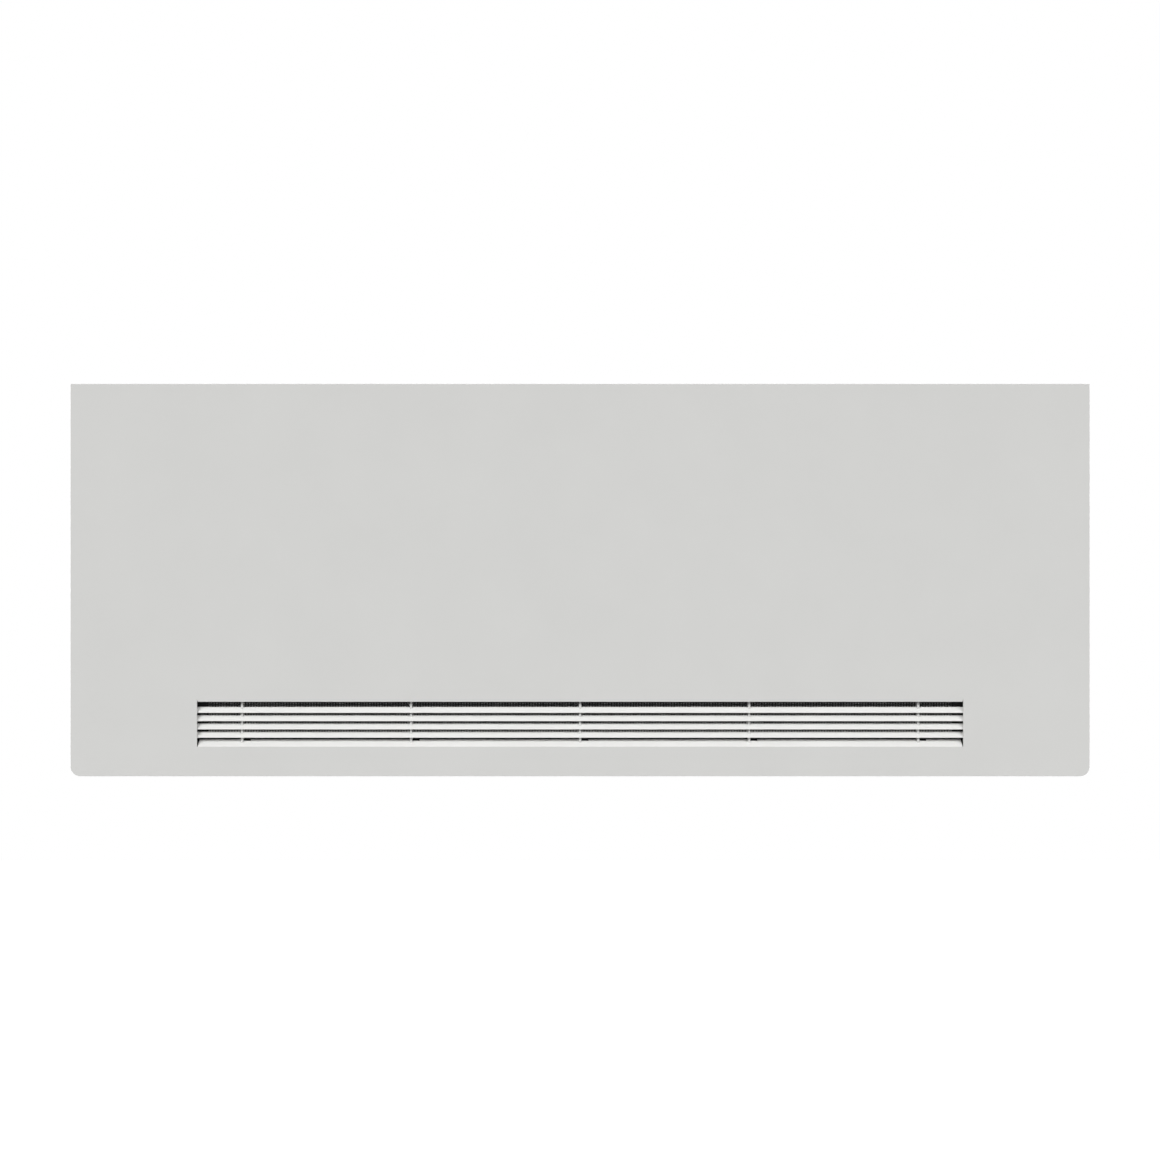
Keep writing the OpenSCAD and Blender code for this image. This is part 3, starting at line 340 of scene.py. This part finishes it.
def new_piece(name, points, faces, slot, body):
    """Makes a mesh piece that rides on a CAD body."""
    mesh = bpy.data.meshes.new(name)
    mesh.from_pydata(points, [], faces)
    mesh.validate()
    mesh.update()
    piece = bpy.data.objects.new(name, mesh)
    bpy.context.scene.collection.objects.link(piece)
    mesh.materials.append(MATERIALS[slot])
    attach(piece, body)
    return piece


def tubes(paths, radius, sides):
    """Points and faces of closed tubes along paths, each an array of points along one axis."""
    points, faces, start = [], [], 0
    turn = np.linspace(0, 2 * np.pi, sides, endpoint=False)
    for path, side_a, side_b in paths:
        ring = radius * (np.cos(turn)[:, None] * side_a + np.sin(turn)[:, None] * side_b)
        grid = path[:, None, :] + ring[None, :, :]
        points.append(grid.reshape(-1, 3))
        count = len(path)
        low = start + np.arange(count - 1)[:, None] * sides + np.arange(sides)[None, :]
        side = start + np.arange(count - 1)[:, None] * sides + (np.arange(sides) + 1)[None, :] % sides
        quads = np.stack([low, side, side + sides, low + sides], axis=-1).reshape(-1, 4)
        faces.extend(quads.tolist())
        faces.append(list(range(start + sides - 1, start - 1, -1)))
        end = start + (count - 1) * sides
        faces.append(list(range(end, end + sides)))
        start += count * sides
    return np.concatenate(points).tolist(), faces


def weave(step):
    """How far a wire stands in front of the weave's middle where it crosses another one."""
    return WIRE_R * (-1.0) ** step


def woven_mesh(name, node_name, along, out, body):
    """Square woven wire over a guard mesh's node, along its short side and out through its thickness."""
    low, high = (np.array(corner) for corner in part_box(node_name))
    x_axis = np.array((1.0, 0.0, 0.0))
    middle = (low + high) / 2
    front = low if out.sum() > 0 else high
    plane = middle * (1 - abs(out)) + (front + out * 2 * WIRE_R) * abs(out)
    columns = int((high - low)[0] / WIRE_PITCH)
    rows = int(abs((high - low) @ along) / WIRE_PITCH)
    xs = (np.arange(columns) - (columns - 1) / 2) * WIRE_PITCH
    vs = (np.arange(rows) - (rows - 1) / 2) * WIRE_PITCH
    paths = []
    for j, v in enumerate(vs):
        i = np.arange(columns)
        path = plane + xs[:, None] * x_axis + v * along + weave(i + j)[:, None] * out
        paths.append((path, along, out))
    for i, x in enumerate(xs):
        j = np.arange(rows)
        path = plane + x * x_axis + vs[:, None] * along - weave(i + j)[:, None] * out
        paths.append((path, x_axis, out))
    piece = new_piece(name, *tubes(paths, WIRE_R, WIRE_SIDES), "mesh_wire", body)
    piece.data.shade_smooth()
    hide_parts(node_name)


def domes(centres, out, radius, height):
    """Points and faces of shallow round domes that stand on a face, out being its normal along Y."""
    sides, rings = WELD_SIDES, WELD_RINGS
    turn = np.linspace(0, 2 * np.pi, sides, endpoint=False)
    circle = np.stack([np.cos(turn), np.zeros(sides), np.sin(turn)], axis=1)
    points, faces = [], []
    for centre in centres:
        start = len(points)
        for share, rise in rings:
            ring = np.array(centre) + circle * radius * share + (0, out * height * rise, 0)
            points.extend(ring.tolist())
        points.append([centre[0], centre[1] + out * height, centre[2]])
        for k in range(sides):
            after = (k + 1) % sides
            for level in range(len(rings) - 1):
                low = start + level * sides
                faces.append([low + k, low + after, low + sides + after, low + sides + k][::-int(out)])
            inner = start + (len(rings) - 1) * sides
            faces.append([inner + k, inner + after, start + len(rings) * sides][::-int(out)])
    return points, faces


def spot_welds(name, node_name, out):
    """Rows of spot welds on the flat sheet between the flutes of a water panel."""
    low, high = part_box(node_name)
    pitch = (high.x - low.x) / FLUTES
    face = (high.y if out > 0 else low.y) - out * FLUTE_DEPTH
    centres = []
    for row in range(WELD_ROWS):
        share = row / (WELD_ROWS - 1)
        z = low.z + WELD_EDGE + share * (high.z - low.z - 2 * WELD_EDGE)
        for k in range(1, FLUTES):
            centres.append((low.x + k * pitch, face, z))
    piece = new_piece(name, *domes(centres, out, WELD_R, WELD_H), "radiator_enamel", "casing")
    piece.data.shade_smooth()


def dial():
    """Raised numbers round the crown of the thermostatic head."""
    low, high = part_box("trv_head")
    axis_x, axis_y = (low.x + high.x) / 2, (low.y + high.y) / 2
    flank = (high.x - low.x) / 2
    middle = (CROWN_LOW + CROWN_HIGH) / 2
    points, faces = [], []
    for number in range(DIAL_LAST + 1):
        glyph = digit(str(number))
        start = len(points)
        turn = math.radians((number - DIAL_LAST / 2) * DIAL_STEP)
        for corner in glyph.vertices:
            u, v, w = corner.co
            drop = middle - v
            radius = flank - CROWN_DRAW * (CROWN_LOW - drop) / (CROWN_LOW - CROWN_HIGH) + w
            angle = turn + u / flank
            x, y = axis_x + radius * math.sin(angle), axis_y - radius * math.cos(angle)
            points.append((x, y, high.z - drop))
        faces.extend([[start + i for i in face.vertices] for face in glyph.polygons])
    new_piece("dial_numbers", points, faces, "dark_plastic", "head")


def digit(text):
    """Mesh of a digit round its own middle, u to the right, v up and w out."""
    curve = bpy.data.curves.new("digit", "FONT")
    curve.body = text
    curve.size = DIGIT_H / DIGIT_SHARE
    curve.extrude = DIGIT_T
    curve.align_x = "CENTER"
    curve.align_y = "CENTER"
    curve.resolution_u = DIGIT_STEPS
    made = bpy.data.objects.new("digit", curve)
    bpy.context.scene.collection.objects.link(made)
    mesh = bpy.data.meshes.new_from_object(made.evaluated_get(bpy.context.evaluated_depsgraph_get()))
    bpy.data.objects.remove(made)
    return mesh


def studio():
    """World, floor, soft lamps and the camera at the photograph's view."""
    scene = bpy.context.scene
    scene.view_settings.view_transform = "Standard"
    world = bpy.data.worlds.new("studio")
    scene.world = world
    world.use_nodes = True
    tree = world.node_tree
    tree.nodes.clear()
    output = add(tree, "ShaderNodeOutputWorld")
    back = add(tree, "ShaderNodeBackground", {"Color": (1, 1, 1, 1)})
    strength = add(tree, "ShaderNodeMapRange", {"To Min": WORLD_LIGHT, "To Max": 1.0})
    tree.links.new(seen_ray(tree), strength.inputs["Value"])
    tree.links.new(strength.outputs["Result"], back.inputs["Strength"])
    tree.links.new(back.outputs["Background"], output.inputs["Surface"])

    for name, (azimuth, elevation, share) in LAMPS.items():
        lamp(name, azimuth, elevation, share)
    floor()
    camera()


def seen_ray(tree):
    """1 on camera, glossy and transmission rays, which see the white studio."""
    path = add(tree, "ShaderNodeLightPath")
    first = add(tree, "ShaderNodeMath", operation="MAXIMUM")
    both = add(tree, "ShaderNodeMath", operation="MAXIMUM")
    tree.links.new(path.outputs["Is Camera Ray"], first.inputs[0])
    tree.links.new(path.outputs["Is Glossy Ray"], first.inputs[1])
    tree.links.new(first.outputs[0], both.inputs[0])
    tree.links.new(path.outputs["Is Transmission Ray"], both.inputs[1])
    return both.outputs[0]


def lamp(name, azimuth, elevation, share):
    """A far soft lamp."""
    data = bpy.data.lights.new(name, "SUN")
    data.energy = share * math.pi
    data.angle = math.radians(LAMP_SOFTNESS)
    made = bpy.data.objects.new(name, data)
    bpy.context.scene.collection.objects.link(made)
    a, e = math.radians(azimuth), math.radians(elevation)
    towards = Vector((math.sin(a) * math.cos(e), -math.cos(a) * math.cos(e), math.sin(e)))
    made.rotation_euler = towards.to_track_quat("Z", "Y").to_euler()
    made.location = towards * LAMP_PLACE


def floor():
    """A pale floor below the wall-hung casing."""
    z = cad_box[0].z - FLOOR_DROP
    corners = [(x * FLOOR_HALF, y * FLOOR_HALF, z) for x, y in ((-1, -1), (1, -1), (1, 1), (-1, 1))]
    mesh = bpy.data.meshes.new("floor")
    mesh.from_pydata(corners, [], [(0, 1, 2, 3)])
    made = bpy.data.objects.new("floor", mesh)
    bpy.context.scene.collection.objects.link(made)
    material = bpy.data.materials.new("floor")
    material.use_nodes = True
    tree = material.node_tree
    tree.nodes.clear()
    output = add(tree, "ShaderNodeOutputMaterial")
    matt = add(tree, "ShaderNodeBsdfDiffuse", {"Color": (FLOOR_TONE, FLOOR_TONE, FLOOR_TONE, 1)})
    glow = add(tree, "ShaderNodeEmission", {"Color": (1, 1, 1, 1)})
    both = add(tree, "ShaderNodeAddShader")
    strength = add(tree, "ShaderNodeMapRange", {"To Min": 0.0, "To Max": FLOOR_GLOW})
    tree.links.new(seen_ray(tree), strength.inputs["Value"])
    tree.links.new(strength.outputs["Result"], glow.inputs["Strength"])
    tree.links.new(matt.outputs["BSDF"], both.inputs[0])
    tree.links.new(glow.outputs["Emission"], both.inputs[1])
    tree.links.new(both.outputs["Shader"], output.inputs["Surface"])
    mesh.materials.append(material)


def camera():
    """Straight on at the front panel's middle, framed as in the photograph."""
    low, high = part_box("front_panel")
    scale = (high.x - low.x) / (PANEL_RIGHT - PANEL_LEFT)
    data = bpy.data.cameras.new("camera")
    data.sensor_width = SENSOR
    data.lens = SENSOR * CAMERA_DISTANCE / (PHOTO_SIDE * scale)
    made = bpy.data.objects.new("camera", data)
    bpy.context.scene.collection.objects.link(made)
    x = (low.x + high.x) / 2 + (PHOTO_SIDE / 2 - (PANEL_LEFT + PANEL_RIGHT) / 2) * scale
    z = (low.z + high.z) / 2 + ((PANEL_TOP + PANEL_BOTTOM) / 2 - PHOTO_SIDE / 2) * scale
    made.location = (x, low.y - CAMERA_DISTANCE, z)
    made.rotation_euler = (math.pi / 2, 0, 0)
    bpy.context.scene.camera = made


dress_nodes()
BACK = np.array((0.0, 1.0, 0.0))
UP = np.array((0.0, 0.0, 1.0))
woven_mesh("inlet_woven_mesh", "inlet_mesh", UP, BACK, "front")
woven_mesh("outlet_woven_mesh", "outlet_mesh", BACK, -UP, "casing")
spot_welds("rear_spot_welds", "water_panel_rear", 1)
spot_welds("front_spot_welds", "water_panel_front", -1)
dial()
for width, segments, names in ROUNDED:
    for name in names:
        soften(name, width, segments)
studio()
